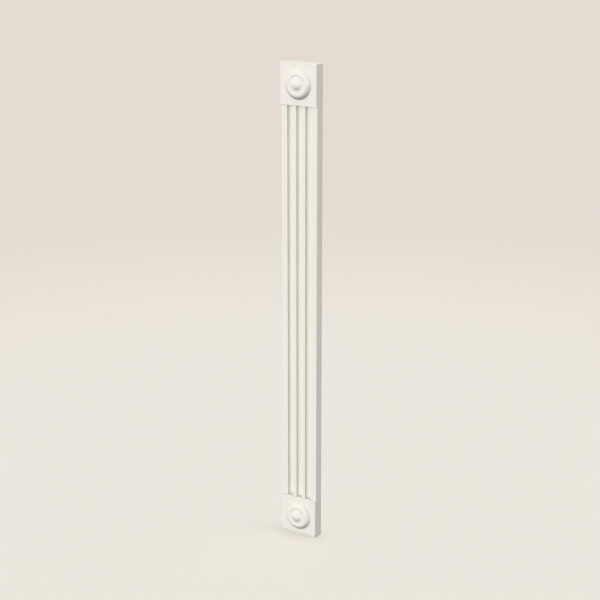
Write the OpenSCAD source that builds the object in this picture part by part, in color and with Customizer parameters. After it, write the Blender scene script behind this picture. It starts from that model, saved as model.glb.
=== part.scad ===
// Fluted pilaster: a fluted shaft between two square blocks, each with a turned rosette on its face.
// Millimetres, +Z up. The front faces -Y. The back is the plane y = 0, which lies on the wall.
// The origin is the middle of the back's bottom edge.

/* [Overall] */
// Height from the foot to the top
pilaster_h = 914.4; // [400:0.1:2400]
// Width of the shaft and of both blocks
pilaster_w = 76.2; // [63:0.1:150]

/* [Blocks] */
// Height of each block
block_h = 76.2; // [60:0.1:150]
// Thickness of each block, back to face
block_t = 22.2; // [19.1:0.1:40]

/* [Shaft] */
// Thickness of the fluted board
shaft_t = 19.05; // [10:0.05:22.2]
// Number of flutes side by side
flute_count = 3; // [2:1:4]
// Width of one flute, a groove with straight sides and a half-round floor
flute_w = 11.9; // [4:0.1:15]
// Depth of one flute, from the board's face to the middle of its floor
flute_depth = 8.2; // [7.5:0.1:9.5]
// Flat band left between the outer flutes and the edges of the board
flute_margin = 12.9; // [4:0.1:20]

/* [Rosette] */
// Diameter of the central dome at its foot
dome_d = 26.6; // [17:0.1:32]
// Diameter of the dome's crown, where it turns from round to hollow
dome_crown_d = 16; // [8:0.1:16]
// Height of the dome above the dish around it
dome_rise = 3.8; // [1:0.1:6]
// Width of the flat dish between the dome and the ring
dish_w = 2.7; // [1:0.1:5]
// Width of the ring's inner slope, from the dish to the crest
ring_lip_w = 1.9; // [1:0.1:5]
// Height of the crest above the dish
ring_lip_h = 0.5; // [0.3:0.1:1.5]
// Height of the crest above the block's face
ring_h = 6.6; // [5:0.1:7.6]
// Width of the ring's round outer slope, from the crest to the rim
ring_slope_w = 9.5; // [8.5:0.1:11]
// Steepness in degrees where the ring's shoulder runs into its flank
ring_shoulder_angle = 44; // [42:1:46]
// Steepness in degrees where the flank meets the block
ring_rim_angle = 57; // [56:1:62]

/* [Hidden] */
$fn = 96;

paint = "#EFECE4";

// The shaft fills the height between the blocks
shaft_h = pilaster_h - 2 * block_h;
top_block_z = pilaster_h - block_h;

// The flutes share the width between the two margins evenly
flute_r = flute_w / 2;
flute_pitch = (pilaster_w - 2 * flute_margin - flute_w) / (flute_count - 1);
// How far a cut starts outside the face that it opens
cut_past = 1;

// The rosette's circles, from the centre out
dome_r = dome_d / 2;
crown_r = dome_crown_d / 2;
dish_r = dome_r + dish_w;
crest_r = dish_r + ring_lip_w;
rim_r = crest_r + ring_slope_w;

// Its heights above the block's face
dish_z = ring_h - ring_lip_h;
dome_z = dish_z + dome_rise;

// A slope that starts level, steepens to an angle and ends level is two arcs that meet at that angle
function slope_angle(run, rise) = 2 * atan(rise / run);
function arc_radius(run, angle) = run / sin(angle);
// A fall made of two arcs, level at its top, with steepness a where they meet and b at its foot.
// Each arc's run and fall are its radius times a share, and the shares' sums give both radii.
function fall_share(a, b) = sin(a) * (cos(a) - cos(b)) - (sin(b) - sin(a)) * (1 - cos(a));
function upper_radius(run, fall, a, b) =
    (run * (cos(a) - cos(b)) - fall * (sin(b) - sin(a))) / fall_share(a, b);
function lower_radius(run, fall, a, b) = (fall * sin(a) - run * (1 - cos(a))) / fall_share(a, b);

// One groove down the front of the board, measured into the board from its face
module flute(x) {
    side = flute_depth - flute_r;
    translate([x, side])
        circle(r = flute_r);
    translate([x - flute_r, -cut_past])
        square([flute_w, side + cut_past]);
}

// The board's outline, seen from above, with its flutes
module shaft_section() {
    difference() {
        translate([-pilaster_w / 2, -shaft_t])
            square([pilaster_w, shaft_t]);
        translate([0, -shaft_t])
            for (i = [0 : flute_count - 1])
                flute((i - (flute_count - 1) / 2) * flute_pitch);
    }
}

module shaft() {
    color(paint)
        translate([0, 0, block_h])
            linear_extrude(height = shaft_h)
                shaft_section();
}

// A sawn square block, thicker than the shaft so that its face stands proud
module block(z) {
    translate([-pilaster_w / 2, -block_t, z])
        cube([pilaster_w, block_t, block_h]);
}

module top_block() {
    color(paint)
        block(top_block_z);
}

module bottom_block() {
    color(paint)
        block(0);
}

// Fills the profile from the axis side: level and convex at run0, down to the turn of a double slope
module convex_arc(run0, run1, top, radius) {
    intersection() {
        translate([run0, top - radius])
            circle(r = radius);
        translate([min(run0, run1), 0])
            square([abs(run1 - run0), top]);
    }
}

// Fills the hollow half of a double slope, which ends level at run0 and at height low
module hollow_arc(run0, run1, low, high, radius) {
    difference() {
        translate([min(run0, run1), 0])
            square([abs(run1 - run0), high]);
        translate([run0, low + radius])
            circle(r = radius);
    }
}

// Half of the turning's cross-section: dome, dish, lip, round shoulder and easier flank
module rosette_profile() {
    dome_angle = slope_angle(dome_r, dome_rise);
    crown_arc = arc_radius(crown_r, dome_angle);
    foot_arc = arc_radius(dome_r - crown_r, dome_angle);
    turn_z = dome_z - crown_arc * (1 - cos(dome_angle));

    lip_angle = slope_angle(ring_lip_w, ring_lip_h);
    lip_arc = arc_radius(ring_lip_w / 2, lip_angle);
    lip_mid_r = dish_r + ring_lip_w / 2;
    lip_mid_z = dish_z + ring_lip_h / 2;

    shoulder_arc = upper_radius(ring_slope_w, ring_h, ring_shoulder_angle, ring_rim_angle);
    flank_arc = lower_radius(ring_slope_w, ring_h, ring_shoulder_angle, ring_rim_angle);
    shoulder_r = crest_r + shoulder_arc * sin(ring_shoulder_angle);
    shoulder_z = ring_h - shoulder_arc * (1 - cos(ring_shoulder_angle));

    union() {
        square([crest_r, dish_z]);
        convex_arc(0, crown_r, dome_z, crown_arc);
        hollow_arc(dome_r, crown_r, dish_z, turn_z, foot_arc);
        hollow_arc(dish_r, lip_mid_r, dish_z, lip_mid_z, lip_arc);
        convex_arc(crest_r, lip_mid_r, ring_h, lip_arc);
        convex_arc(crest_r, shoulder_r, ring_h, shoulder_arc);
        intersection() {
            translate([
                shoulder_r - flank_arc * sin(ring_shoulder_angle),
                shoulder_z - flank_arc * cos(ring_shoulder_angle),
            ])
                circle(r = flank_arc);
            translate([shoulder_r, 0])
                square([rim_r - shoulder_r, shoulder_z]);
        }
    }
}

// A turned rosette, flat on its back, centred on the face of the block that starts at z
module rosette(z) {
    translate([0, -block_t, z + block_h / 2])
        rotate([90, 0, 0])
            rotate_extrude()
                rosette_profile();
}

module top_rosette() {
    color(paint)
        rosette(top_block_z);
}

module bottom_rosette() {
    color(paint)
        rosette(0);
}

shaft();
top_block();
bottom_block();
top_rosette();
bottom_rosette();
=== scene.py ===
"""A fluted pilaster: a fluted board between two square blocks, each block with a turned rosette.

Metres, +Z up. The front faces -Y, and the back lies on the wall plane y = 0.
"""

import math

import bmesh
import bpy
import numpy as np
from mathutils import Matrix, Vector


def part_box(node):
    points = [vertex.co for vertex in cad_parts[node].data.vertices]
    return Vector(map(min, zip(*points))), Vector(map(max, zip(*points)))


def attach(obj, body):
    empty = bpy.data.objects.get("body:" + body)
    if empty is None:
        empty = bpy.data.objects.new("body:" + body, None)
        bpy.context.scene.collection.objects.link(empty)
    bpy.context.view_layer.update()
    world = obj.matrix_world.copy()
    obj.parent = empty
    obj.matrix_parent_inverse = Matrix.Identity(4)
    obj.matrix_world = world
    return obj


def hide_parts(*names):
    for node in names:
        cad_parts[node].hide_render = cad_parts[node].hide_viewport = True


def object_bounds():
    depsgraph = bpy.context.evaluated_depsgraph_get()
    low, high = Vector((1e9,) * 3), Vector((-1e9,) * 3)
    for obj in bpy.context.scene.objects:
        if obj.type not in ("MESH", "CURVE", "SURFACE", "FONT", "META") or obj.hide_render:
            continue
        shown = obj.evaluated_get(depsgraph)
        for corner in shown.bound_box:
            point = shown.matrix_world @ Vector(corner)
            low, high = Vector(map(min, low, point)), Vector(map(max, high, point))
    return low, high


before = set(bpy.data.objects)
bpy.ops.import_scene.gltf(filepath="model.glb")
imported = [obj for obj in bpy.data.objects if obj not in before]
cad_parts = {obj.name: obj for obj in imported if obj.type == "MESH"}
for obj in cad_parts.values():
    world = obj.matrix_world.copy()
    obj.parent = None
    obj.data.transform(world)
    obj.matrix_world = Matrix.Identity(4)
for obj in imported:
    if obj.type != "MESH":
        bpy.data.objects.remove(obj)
cad_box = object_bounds()


# ---------------------------------------------------------------------------------------------
# Camera. A long lens a little over two and a half metres away, to the right of the front and
# above it, aimed just over the middle of the pilaster.

LENS_MM = 87.72
SENSOR_MM = 36.0
CAMERA_AZIMUTH = 32.213
CAMERA_ELEVATION = 17.063
CAMERA_DISTANCE = 2.7173
AIM_ABOVE_MIDDLE = 0.0175


def direction(azimuth, elevation):
    """The way out from the pilaster at an azimuth, from the front towards the right, and at an
    elevation, both in degrees: a vector one metre long."""
    azimuth, elevation = math.radians(azimuth), math.radians(elevation)
    return Vector((
        math.sin(azimuth) * math.cos(elevation),
        -math.cos(azimuth) * math.cos(elevation),
        math.sin(elevation),
    ))


aim = (cad_box[0] + cad_box[1]) / 2 + Vector((0, 0, AIM_ABOVE_MIDDLE))
towards_camera = direction(CAMERA_AZIMUTH, CAMERA_ELEVATION)
camera_data = bpy.data.cameras.new("camera")
camera_data.lens = LENS_MM
camera_data.sensor_width = SENSOR_MM
camera = bpy.data.objects.new("camera", camera_data)
camera.location = aim + towards_camera * CAMERA_DISTANCE
camera.rotation_euler = towards_camera.to_track_quat("Z", "Y").to_euler()
bpy.context.scene.collection.objects.link(camera)
bpy.context.scene.camera = camera
bpy.context.scene.view_settings.view_transform = "Standard"


# ---------------------------------------------------------------------------------------------
# Shaft. A flat board of paint-grade wood with three flutes, routed along its whole length with a
# round-nosed cutter that goes in past its radius, and cut off square where it meets the blocks. Its
# arrises are eased with fine paper, and it is sprayed with matt paint after it is glued up.

MM = 0.001
FLUTE_COUNT = 3
FLUTE_WIDTH = 11.9 * MM
FLUTE_DEPTH = 8.2 * MM
FLUTE_MARGIN = 12.9 * MM
# The radii to which the board's arrises and the flutes' lips are rounded
ARRIS = 0.5 * MM
LIP = 0.25 * MM
# Steps round each of those and round each flute's floor, and outlines up the height of the shaft
ARRIS_STEPS = 6
FLUTE_STEPS = 48
SHAFT_RINGS = 9
# A flat keeps a line this far inside each end, so that rounding doesn't shade across it
FLAT_GUARD = 0.3 * MM
# Points nearer than this are merged, and faces that turn by more than this keep a sharp edge
MERGE_DISTANCE = 0.0001 * MM
SHARP_ANGLE = math.radians(35)

# The coat of paint: its two tones, its gloss, and the sizes of its drift and its orange peel
PAINT_WARM = "#EDEAE0"
PAINT_PALE = "#F1EEE6"
PAINT_IOR = 1.45
PAINT_ROUGHNESS = 0.82
ROUGHNESS_DRIFT = 0.04
DRIFT_SIZE = 90 * MM
PEEL_SIZE = 2 * MM
PEEL_HEIGHT = 0.03 * MM
PEEL_STRENGTH = 0.25

# The share of the paint that a grey painted shade covers: on slopes that face up, and where it is
# sheltered as well, on level ledges and in grooves
PAINTED_SHADE_GREY = "#8B8B8B"
PAINTED_SHADE_ON_SLOPES = 0.22
PAINTED_SHADE_ON_LEDGES = 0.8
PAINTED_SHADE_IN_GROOVES = 0.34
# How far upwards a surface faces, from 0 to 1, where the painted shade on slopes starts and is
# whole, and where a ledge starts
SLOPE_SHADE_STARTS = 0.1
SLOPE_SHADE_WHOLE = 0.5
LEDGE_STARTS = 0.7
# How far a point looks around itself, and how little of its view is open where it is well sheltered
SHELTER_REACH = 8 * MM
WELL_SHELTERED = 0.3
OCCLUSION_SAMPLES = 8


def linear(hex_colour):
    """An sRGB hex colour as linear red, green, blue and full alpha."""
    srgb = [int(hex_colour[i:i + 2], 16) / 255 for i in (1, 3, 5)]
    return [c / 12.92 if c <= 0.04045 else ((c + 0.055) / 1.055) ** 2.4 for c in srgb] + [1.0]


def add_node(tree, kind, settings=None, links=None, **values):
    """One node, with its settings, its sockets' values and the sockets that feed it."""
    node = tree.nodes.new(kind)
    for name, value in (settings or {}).items():
        setattr(node, name, value)
    for name, value in values.items():
        node.inputs[name.replace("_", " ")].default_value = value
    for name, source in (links or {}).items():
        tree.links.new(source, node.inputs[name])
    return node


def painted_shade(tree, coordinates):
    """How much painted shade lies at a point, from 0 to 1: none on open walls and undersides, a thin
    shade on what faces up, a trace in the grooves, and most on a level ledge. The last two grow with
    how far the surfaces around the point shut out its view."""
    facing = add_node(
        tree, "ShaderNodeSeparateXYZ", links={"Vector": coordinates.outputs["Normal"]},
    )
    slope_shade = add_node(
        tree, "ShaderNodeMapRange", links={"Value": facing.outputs["Z"]},
        From_Min=SLOPE_SHADE_STARTS, From_Max=SLOPE_SHADE_WHOLE, To_Min=0.0, To_Max=PAINTED_SHADE_ON_SLOPES,
    )
    level = add_node(
        tree, "ShaderNodeMapRange", links={"Value": facing.outputs["Z"]},
        From_Min=LEDGE_STARTS, From_Max=1.0, To_Min=PAINTED_SHADE_IN_GROOVES, To_Max=PAINTED_SHADE_ON_LEDGES,
    )
    around = add_node(
        tree, "ShaderNodeAmbientOcclusion", {"samples": OCCLUSION_SAMPLES}, Distance=SHELTER_REACH,
    )
    sheltered = add_node(
        tree, "ShaderNodeMapRange", links={"Value": around.outputs["AO"]},
        From_Min=1.0, From_Max=WELL_SHELTERED, To_Min=0.0, To_Max=1.0,
    )
    # The painted shade: the ledge or groove share where sheltered, plus the share on upward slopes
    shade_amount = add_node(tree, "ShaderNodeMath", {"operation": "MULTIPLY_ADD"})
    tree.links.new(level.outputs["Result"], shade_amount.inputs[0])
    tree.links.new(sheltered.outputs["Result"], shade_amount.inputs[1])
    tree.links.new(slope_shade.outputs["Result"], shade_amount.inputs[2])
    return shade_amount.outputs["Value"]


def sprayed_paint():
    """Matt acrylic enamel sprayed on sanded primer: warm off-white, faintly uneven in tone, with
    next to no sheen and the fine orange peel of a spray gun, in cells of about 2 mm. The peel is a
    bump of a few microns, and the tone drifts by about one part in a hundred over a hand's width.
    Painted shade, a grey mixed into the tone, darkens what faces up and the insides of grooves and
    corners, and ledges most of all."""
    material = bpy.data.materials.new("matt_acrylic_enamel")
    material.use_nodes = True
    tree = material.node_tree
    tree.nodes.clear()
    coordinates = add_node(tree, "ShaderNodeTexCoord")
    place = coordinates.outputs["Object"]
    drift = add_node(
        tree, "ShaderNodeTexNoise", links={"Vector": place},
        Scale=1 / DRIFT_SIZE, Detail=3.0, Roughness=0.5,
    )
    tone = add_node(tree, "ShaderNodeMix", {"data_type": "RGBA"})
    tone.inputs["A"].default_value = linear(PAINT_WARM)
    tone.inputs["B"].default_value = linear(PAINT_PALE)
    tree.links.new(drift.outputs["Fac"], tone.inputs["Factor"])
    # Painted shade: grey mixed into the paint's tone where it faces up, in grooves and on ledges
    with_painted_shade = add_node(tree, "ShaderNodeMix", {"data_type": "RGBA"})
    tree.links.new(painted_shade(tree, coordinates), with_painted_shade.inputs["Factor"])
    tree.links.new(tone.outputs["Result"], with_painted_shade.inputs["A"])
    with_painted_shade.inputs["B"].default_value = linear(PAINTED_SHADE_GREY)
    sheen = add_node(
        tree, "ShaderNodeMapRange", links={"Value": drift.outputs["Fac"]},
        To_Min=PAINT_ROUGHNESS - ROUGHNESS_DRIFT, To_Max=PAINT_ROUGHNESS + ROUGHNESS_DRIFT,
    )
    peel = add_node(
        tree, "ShaderNodeTexNoise", links={"Vector": place},
        Scale=1 / PEEL_SIZE, Detail=2.0, Roughness=0.4,
    )
    bump = add_node(
        tree, "ShaderNodeBump", links={"Height": peel.outputs["Fac"]},
        Strength=PEEL_STRENGTH, Distance=PEEL_HEIGHT,
    )
    shader = add_node(
        tree, "ShaderNodeBsdfPrincipled",
        links={
            "Base Color": with_painted_shade.outputs["Result"],
            "Roughness": sheen.outputs["Result"],
            "Normal": bump.outputs["Normal"],
        },
        IOR=PAINT_IOR,
    )
    add_node(tree, "ShaderNodeOutputMaterial", links={"Surface": shader.outputs["BSDF"]})
    return material


paint = sprayed_paint()


def make_piece(name, points, faces):
    """Adds a closed, smooth piece from an array of points and its faces, with doubled points merged.
    It rides on the part's one body, stands for the CAD node of its name and is painted."""
    mesh = bpy.data.meshes.new(name)
    mesh.from_pydata(points.tolist(), [], faces)
    shape = bmesh.new()
    shape.from_mesh(mesh)
    bmesh.ops.remove_doubles(shape, verts=shape.verts, dist=MERGE_DISTANCE)
    bmesh.ops.recalc_face_normals(shape, faces=shape.faces)
    shape.to_mesh(mesh)
    shape.free()
    mesh.shade_smooth()
    mesh.set_sharp_from_angle(angle=SHARP_ANGLE)
    mesh.materials.append(paint)
    piece = bpy.data.objects.new(name, mesh)
    bpy.context.scene.collection.objects.link(piece)
    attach(piece, "root")
    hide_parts(name.removesuffix("_piece"))


def arc(centre, radius, start, end, steps):
    """Points on a circle's arc, from one angle to another in degrees, ends included."""
    angle = np.radians(np.linspace(start, end, steps + 1))
    return np.stack([centre[0] + radius * np.cos(angle), centre[1] + radius * np.sin(angle)], 1)


def with_flats(arcs, closed):
    """The arcs joined into one outline by straight lines, each with a point just inside its ends."""
    parts = []
    followers = arcs[1:] + arcs[:1] if closed else arcs[1:]
    for this, following in zip(arcs, followers):
        parts.append(this)
        run = following[0] - this[-1]
        length = np.hypot(*run)
        if length > 3 * FLAT_GUARD:
            parts.append(np.stack([
                this[-1] + run * FLAT_GUARD / length,
                following[0] - run * FLAT_GUARD / length,
            ]))
    if not closed:
        parts.append(arcs[-1])
    return np.concatenate(parts)


def shaft_outline(low, high):
    """The board seen from above, anticlockwise from the front left corner: four eased arrises, and
    on the front the flutes, each a half circle with straight sides that end in rounded lips."""
    flute_r = FLUTE_WIDTH / 2
    pitch = (high.x - low.x - 2 * FLUTE_MARGIN - FLUTE_WIDTH) / (FLUTE_COUNT - 1)
    middle = (low.x + high.x) / 2
    arcs = [arc((low.x + ARRIS, low.y + ARRIS), ARRIS, 180, 270, ARRIS_STEPS)]
    for i in range(FLUTE_COUNT):
        x = middle + (i - (FLUTE_COUNT - 1) / 2) * pitch
        arcs += [
            arc((x - flute_r - LIP, low.y + LIP), LIP, -90, 0, ARRIS_STEPS),
            arc((x, low.y + FLUTE_DEPTH - flute_r), flute_r, 180, 0, FLUTE_STEPS),
            arc((x + flute_r + LIP, low.y + LIP), LIP, 180, 270, ARRIS_STEPS),
        ]
    arcs += [
        arc((high.x - ARRIS, low.y + ARRIS), ARRIS, 270, 360, ARRIS_STEPS),
        arc((high.x - ARRIS, high.y - ARRIS), ARRIS, 0, 90, ARRIS_STEPS),
        arc((low.x + ARRIS, high.y - ARRIS), ARRIS, 90, 180, ARRIS_STEPS),
    ]
    return with_flats(arcs, closed=True)


def extrusion(outline, heights):
    """The outline carried straight up through the heights: point (i, j) is outline point j at
    height i. Each end is one face."""
    rings, sides = len(heights), len(outline)
    points = np.empty((rings, sides, 3))
    points[:, :, :2] = outline
    points[:, :, 2] = heights[:, None]
    at = np.arange(rings * sides).reshape(rings, sides)
    after = np.roll(at, -1, axis=1)
    quads = np.stack([at[:-1], after[:-1], after[1:], at[1:]], axis=-1).reshape(-1, 4)
    return points.reshape(-1, 3), quads.tolist() + [at[0, ::-1].tolist(), at[-1].tolist()]


shaft_low, shaft_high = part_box("shaft")
ring_heights = np.linspace(shaft_low.z, shaft_high.z, SHAFT_RINGS)
make_piece("shaft_piece", *extrusion(shaft_outline(shaft_low, shaft_high), ring_heights))


# ---------------------------------------------------------------------------------------------
# Blocks. Two sawn squares of thicker stock, glued to the ends of the shaft flush with its sides and
# back, so that their faces stand proud of it. Every arris is eased with fine paper, which leaves a
# hairline where a block meets the shaft.

BLOCK_ARRIS = 0.4 * MM
BLOCK_ARRIS_STEPS = 4


def eased_box(low, high, radius):
    """A box with every edge rounded. Each side is a grid of points on the sharp box. A point is
    drawn in to the nearest point of the box that is smaller by the radius all round, and then put
    back one radius away from it along the line between the two."""
    low, high = np.array(low), np.array(high)
    bend = radius * np.tan(np.radians(np.linspace(45, 0, BLOCK_ARRIS_STEPS + 1)))

    def stations(a, b):
        """Places from a to b: close together round each edge, and one just inside the flat."""
        near = np.concatenate([a + radius - bend, [a + radius + FLAT_GUARD]])
        return np.concatenate([near, (a + b - near)[::-1]])

    points, faces, count = [], [], 0
    for axis in range(3):
        u, v = (axis + 1) % 3, (axis + 2) % 3
        for end in (low[axis], high[axis]):
            su, sv = np.meshgrid(stations(low[u], high[u]), stations(low[v], high[v]), indexing="ij")
            grid = np.empty(su.shape + (3,))
            grid[..., axis], grid[..., u], grid[..., v] = end, su, sv
            at = np.arange(su.size).reshape(su.shape) + count
            quads = np.stack([at[:-1, :-1], at[1:, :-1], at[1:, 1:], at[:-1, 1:]], axis=-1)
            points.append(grid.reshape(-1, 3))
            faces += quads.reshape(-1, 4).tolist()
            count += su.size
    sharp = np.concatenate(points)
    inner = np.clip(sharp, low + radius, high - radius)
    away = sharp - inner
    return inner + radius * away / np.linalg.norm(away, axis=1, keepdims=True), faces


for block in ("top_block", "bottom_block"):
    make_piece(block + "_piece", *eased_box(*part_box(block), BLOCK_ARRIS))


# ---------------------------------------------------------------------------------------------
# Rosettes. Two turnings of close-grained wood, flat on the back and glued to the middle of each
# block's face: a domed button in a shallow dish, and round it a ring with a full, rounded outer
# slope. Paint bridges the joint with the block in a small hollow fillet.

DOME_RADIUS = 13.3 * MM
CROWN_RADIUS = 8.0 * MM
DOME_RISE = 3.8 * MM
DISH_WIDTH = 2.7 * MM
RING_LIP_WIDTH = 1.9 * MM
RING_LIP_HEIGHT = 0.5 * MM
RING_HEIGHT = 6.6 * MM
RING_SLOPE_WIDTH = 9.5 * MM
# How steep the slope is, in degrees, where its shoulder meets its flank and where it ends at the rim
SHOULDER_ANGLE = 44
RIM_ANGLE = 57
PAINT_FILLET = 0.4 * MM
# Steps along each arc of the section, from the dome's crown outwards, and round the turning
CROWN_STEPS = 16
FOOT_STEPS = 12
LIP_STEPS = 8
SHOULDER_STEPS = 14
FLANK_STEPS = 10
FILLET_STEPS = 5
ROSETTE_SIDES = 180


def rosette_outline():
    """Half of the turning's section, as distance from the axis and height, from the dome's crown to
    the rim. A slope that starts and ends level is two arcs that meet at twice the angle whose
    tangent is rise over run. The outer slope is two arcs as well, a tight shoulder that starts level
    at the ring's crest and an easier flank down to the rim. Their radii are the ones whose runs add
    up to the slope's width and whose falls add up to its height. The fillet at the rim is the arc
    that touches the flank and the block's face."""
    dish_r = DOME_RADIUS + DISH_WIDTH
    crest_r = dish_r + RING_LIP_WIDTH
    rim_r = crest_r + RING_SLOPE_WIDTH
    dish_h = RING_HEIGHT - RING_LIP_HEIGHT
    dome_h = dish_h + DOME_RISE

    dome_turn = math.degrees(2 * math.atan(DOME_RISE / DOME_RADIUS))
    crown_arc = CROWN_RADIUS / math.sin(math.radians(dome_turn))
    foot_arc = (DOME_RADIUS - CROWN_RADIUS) / math.sin(math.radians(dome_turn))
    lip_turn = math.degrees(2 * math.atan(RING_LIP_HEIGHT / RING_LIP_WIDTH))
    lip_arc = RING_LIP_WIDTH / 2 / math.sin(math.radians(lip_turn))
    shoulder, rim = math.radians(SHOULDER_ANGLE), math.radians(RIM_ANGLE)
    shoulder_arc, flank_arc = np.linalg.solve([
        [math.sin(shoulder), math.sin(rim) - math.sin(shoulder)],
        [1 - math.cos(shoulder), math.cos(shoulder) - math.cos(rim)],
    ], [RING_SLOPE_WIDTH, RING_HEIGHT])
    flank_r = crest_r + (shoulder_arc - flank_arc) * math.sin(shoulder)
    flank_h = RING_HEIGHT - shoulder_arc + (shoulder_arc - flank_arc) * math.cos(shoulder)

    outline = with_flats([
        arc((0, dome_h - crown_arc), crown_arc, 90, 90 - dome_turn, CROWN_STEPS),
        arc((DOME_RADIUS, dish_h + foot_arc), foot_arc, 270 - dome_turn, 270, FOOT_STEPS),
        arc((dish_r, dish_h + lip_arc), lip_arc, 270, 270 + lip_turn, LIP_STEPS),
        arc((crest_r, RING_HEIGHT - lip_arc), lip_arc, 90 + lip_turn, 90, LIP_STEPS),
        arc(
            (crest_r, RING_HEIGHT - shoulder_arc), shoulder_arc,
            90, 90 - SHOULDER_ANGLE, SHOULDER_STEPS,
        ),
        arc((flank_r, flank_h), flank_arc, 90 - SHOULDER_ANGLE, 90 - RIM_ANGLE, FLANK_STEPS),
    ], closed=False)
    fillet_r = rim_r + PAINT_FILLET * math.tan(rim / 2)
    fillet = arc((fillet_r, PAINT_FILLET), PAINT_FILLET, 270 - RIM_ANGLE, 270, FILLET_STEPS)
    return np.concatenate([outline[:-1], fillet, [[0, 0]]])


def turning(outline, middle, sides):
    """The outline turned round the axis through the middle that points along -Y: point (i, j) is
    outline point i at the angle j, its height measured forwards. The outline starts and ends on the
    axis, so that merging its doubled points there closes the shape."""
    angle = np.linspace(0, 2 * math.pi, sides, endpoint=False)
    points = np.empty((len(outline), sides, 3))
    points[:, :, 0] = middle[0] + outline[:, :1] * np.sin(angle)
    points[:, :, 1] = middle[1] - outline[:, 1:]
    points[:, :, 2] = middle[2] + outline[:, :1] * np.cos(angle)
    at = np.arange(len(outline) * sides).reshape(len(outline), sides)
    after = np.roll(at, -1, axis=1)
    quads = np.stack([at[:-1], after[:-1], after[1:], at[1:]], axis=-1)
    return points.reshape(-1, 3), quads.reshape(-1, 4).tolist()


for rosette in ("top_rosette", "bottom_rosette"):
    low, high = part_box(rosette)
    seat = ((low.x + high.x) / 2, high.y, (low.z + high.z) / 2)
    make_piece(rosette + "_piece", *turning(rosette_outline(), seat, ROSETTE_SIDES))


# ---------------------------------------------------------------------------------------------
# Studio. A pale, warm floor with a painted pool of light round the object, so that it is a little
# darker far away, and a painted contact shadow at its foot. A broad frontal key light and a weak
# fill behind, so soft that they throw no shadow, an even sky, and a lamp low on the right that does.
# Only what looks at the floor directly sees it pale.

FLOOR_RADIUS = 14.0
FLOOR_SIDES = 96
# The floor's tones, the near one a painted pool of light, and the distances in metres at which the
# near one starts to fade and is gone
FLOOR_NEAR = "#E7E2D9"
FLOOR_FAR = "#DFD7CD"
FADE_START = 0.9
FADE_END = 2.8
# Painted contact shadow: its tone where something stands on it, and how far from that it is darker
FLOOR_PAINTED_SHADOW = "#CCC6BC"
CONTACT_REACH = 0.04
# The share of the floor's seen tone that needs no lamp, and the colour that lights the object
FLOOR_GLOW = 0.5
FLOOR_BOUNCE = "#2A2826"
# What shows beyond the floor, which is the far floor's own tone in the lamps' light
BACKDROP = "#E4DCD1"
SKY_LEVEL = 0.5
# Every lamp is this many degrees across. Each has a level, and a direction in degrees.
LAMP_ANGLE = 34
KEY_LEVEL = 2.7
KEY_AZIMUTH = -5
KEY_ELEVATION = 35
KICKER_LEVEL = 1.0
KICKER_AZIMUTH = 110
KICKER_ELEVATION = 12
FILL_LEVEL = 0.9
FILL_AZIMUTH = -165
FILL_ELEVATION = 6


def looks_directly(tree):
    """1 for a ray from the camera, or one seen in a mirror or through glass, and 0 for the rest."""
    ray = add_node(tree, "ShaderNodeLightPath")
    seen = ray.outputs["Is Camera Ray"]
    for kind in ("Is Glossy Ray", "Is Transmission Ray"):
        both = add_node(tree, "ShaderNodeMath", {"operation": "MAXIMUM"})
        tree.links.new(seen, both.inputs[0])
        tree.links.new(ray.outputs[kind], both.inputs[1])
        seen = both.outputs[0]
    return seen


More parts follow.
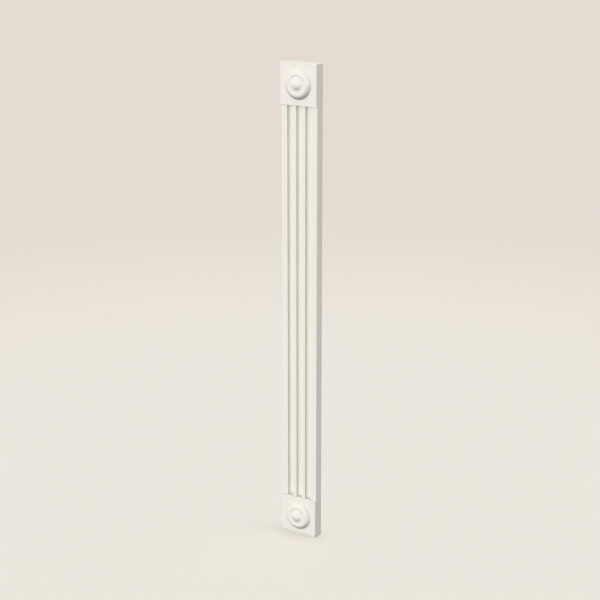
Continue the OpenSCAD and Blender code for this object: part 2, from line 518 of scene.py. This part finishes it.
def floor_material():
    """Matt paper with a painted pool of light, paler near the object and fading with the distance
    from it. Half of what is seen of it is its own tone, with a painted contact shadow close to what
    stands on it, and the other half takes the lamps and the object's soft shadow."""
    material = bpy.data.materials.new("matt_paper")
    material.use_nodes = True
    tree = material.node_tree
    tree.nodes.clear()
    place = add_node(tree, "ShaderNodeTexCoord").outputs["Object"]
    distance = add_node(tree, "ShaderNodeVectorMath", {"operation": "LENGTH"})
    tree.links.new(place, distance.inputs[0])
    fade = add_node(
        tree, "ShaderNodeMapRange", {"interpolation_type": "SMOOTHSTEP"},
        {"Value": distance.outputs["Value"]}, From_Min=FADE_START, From_Max=FADE_END,
    )
    # Painted pool of light: the floor is paler near the object
    pale = add_node(tree, "ShaderNodeMix", {"data_type": "RGBA"})
    pale.inputs["A"].default_value = linear(FLOOR_NEAR)
    pale.inputs["B"].default_value = linear(FLOOR_FAR)
    tree.links.new(fade.outputs["Result"], pale.inputs["Factor"])
    # Painted contact shadow: the floor darkens where things close by shut out its view
    open_air = add_node(
        tree, "ShaderNodeAmbientOcclusion", {"samples": OCCLUSION_SAMPLES}, Distance=CONTACT_REACH,
    )
    shaded = add_node(tree, "ShaderNodeMix", {"data_type": "RGBA"})
    tree.links.new(open_air.outputs["AO"], shaded.inputs["Factor"])
    shaded.inputs["A"].default_value = linear(FLOOR_PAINTED_SHADOW)
    tree.links.new(pale.outputs["Result"], shaded.inputs["B"])
    glow = add_node(
        tree, "ShaderNodeEmission", links={"Color": shaded.outputs["Result"]}, Strength=1.0,
    )
    lit = add_node(tree, "ShaderNodeBsdfDiffuse", links={"Color": shaded.outputs["Result"]})
    shown = add_node(tree, "ShaderNodeMixShader", Fac=FLOOR_GLOW)
    tree.links.new(lit.outputs["BSDF"], shown.inputs[1])
    tree.links.new(glow.outputs["Emission"], shown.inputs[2])
    bounce = add_node(tree, "ShaderNodeBsdfDiffuse", Color=linear(FLOOR_BOUNCE))
    mix = add_node(tree, "ShaderNodeMixShader")
    tree.links.new(looks_directly(tree), mix.inputs[0])
    tree.links.new(bounce.outputs["BSDF"], mix.inputs[1])
    tree.links.new(shown.outputs["Shader"], mix.inputs[2])
    add_node(tree, "ShaderNodeOutputMaterial", links={"Surface": mix.outputs["Shader"]})
    return material


def lamp(name, level, azimuth, elevation, casts_shadow):
    """Adds a broad soft lamp far away, at an azimuth and an elevation in degrees."""
    data = bpy.data.lights.new(name, "SUN")
    data.energy = level
    data.angle = math.radians(LAMP_ANGLE)
    data.use_shadow = casts_shadow
    light = bpy.data.objects.new(name, data)
    light.rotation_euler = direction(azimuth, elevation).to_track_quat("Z", "Y").to_euler()
    bpy.context.scene.collection.objects.link(light)


floor_mesh = bpy.data.meshes.new("floor")
floor_angle = np.linspace(0, 2 * math.pi, FLOOR_SIDES, endpoint=False)
floor_points = np.stack([
    FLOOR_RADIUS * np.cos(floor_angle),
    FLOOR_RADIUS * np.sin(floor_angle),
    np.zeros(FLOOR_SIDES),
], 1)
floor_mesh.from_pydata(floor_points.tolist(), [], [list(range(FLOOR_SIDES))])
floor_mesh.materials.append(floor_material())
floor = bpy.data.objects.new("floor", floor_mesh)
bpy.context.scene.collection.objects.link(floor)

world = bpy.data.worlds.new("studio")
bpy.context.scene.world = world
world.use_nodes = True
sky = world.node_tree
sky.nodes.clear()
sky_light = add_node(sky, "ShaderNodeBackground", Color=(1, 1, 1, 1), Strength=SKY_LEVEL)
backdrop = add_node(sky, "ShaderNodeBackground", Color=linear(BACKDROP), Strength=1.0)
sky_mix = add_node(sky, "ShaderNodeMixShader")
sky.links.new(looks_directly(sky), sky_mix.inputs[0])
sky.links.new(sky_light.outputs["Background"], sky_mix.inputs[1])
sky.links.new(backdrop.outputs["Background"], sky_mix.inputs[2])
add_node(sky, "ShaderNodeOutputWorld", links={"Surface": sky_mix.outputs["Shader"]})

lamp("key", KEY_LEVEL, KEY_AZIMUTH, KEY_ELEVATION, casts_shadow=False)
lamp("kicker", KICKER_LEVEL, KICKER_AZIMUTH, KICKER_ELEVATION, casts_shadow=True)
lamp("fill", FILL_LEVEL, FILL_AZIMUTH, FILL_ELEVATION, casts_shadow=False)
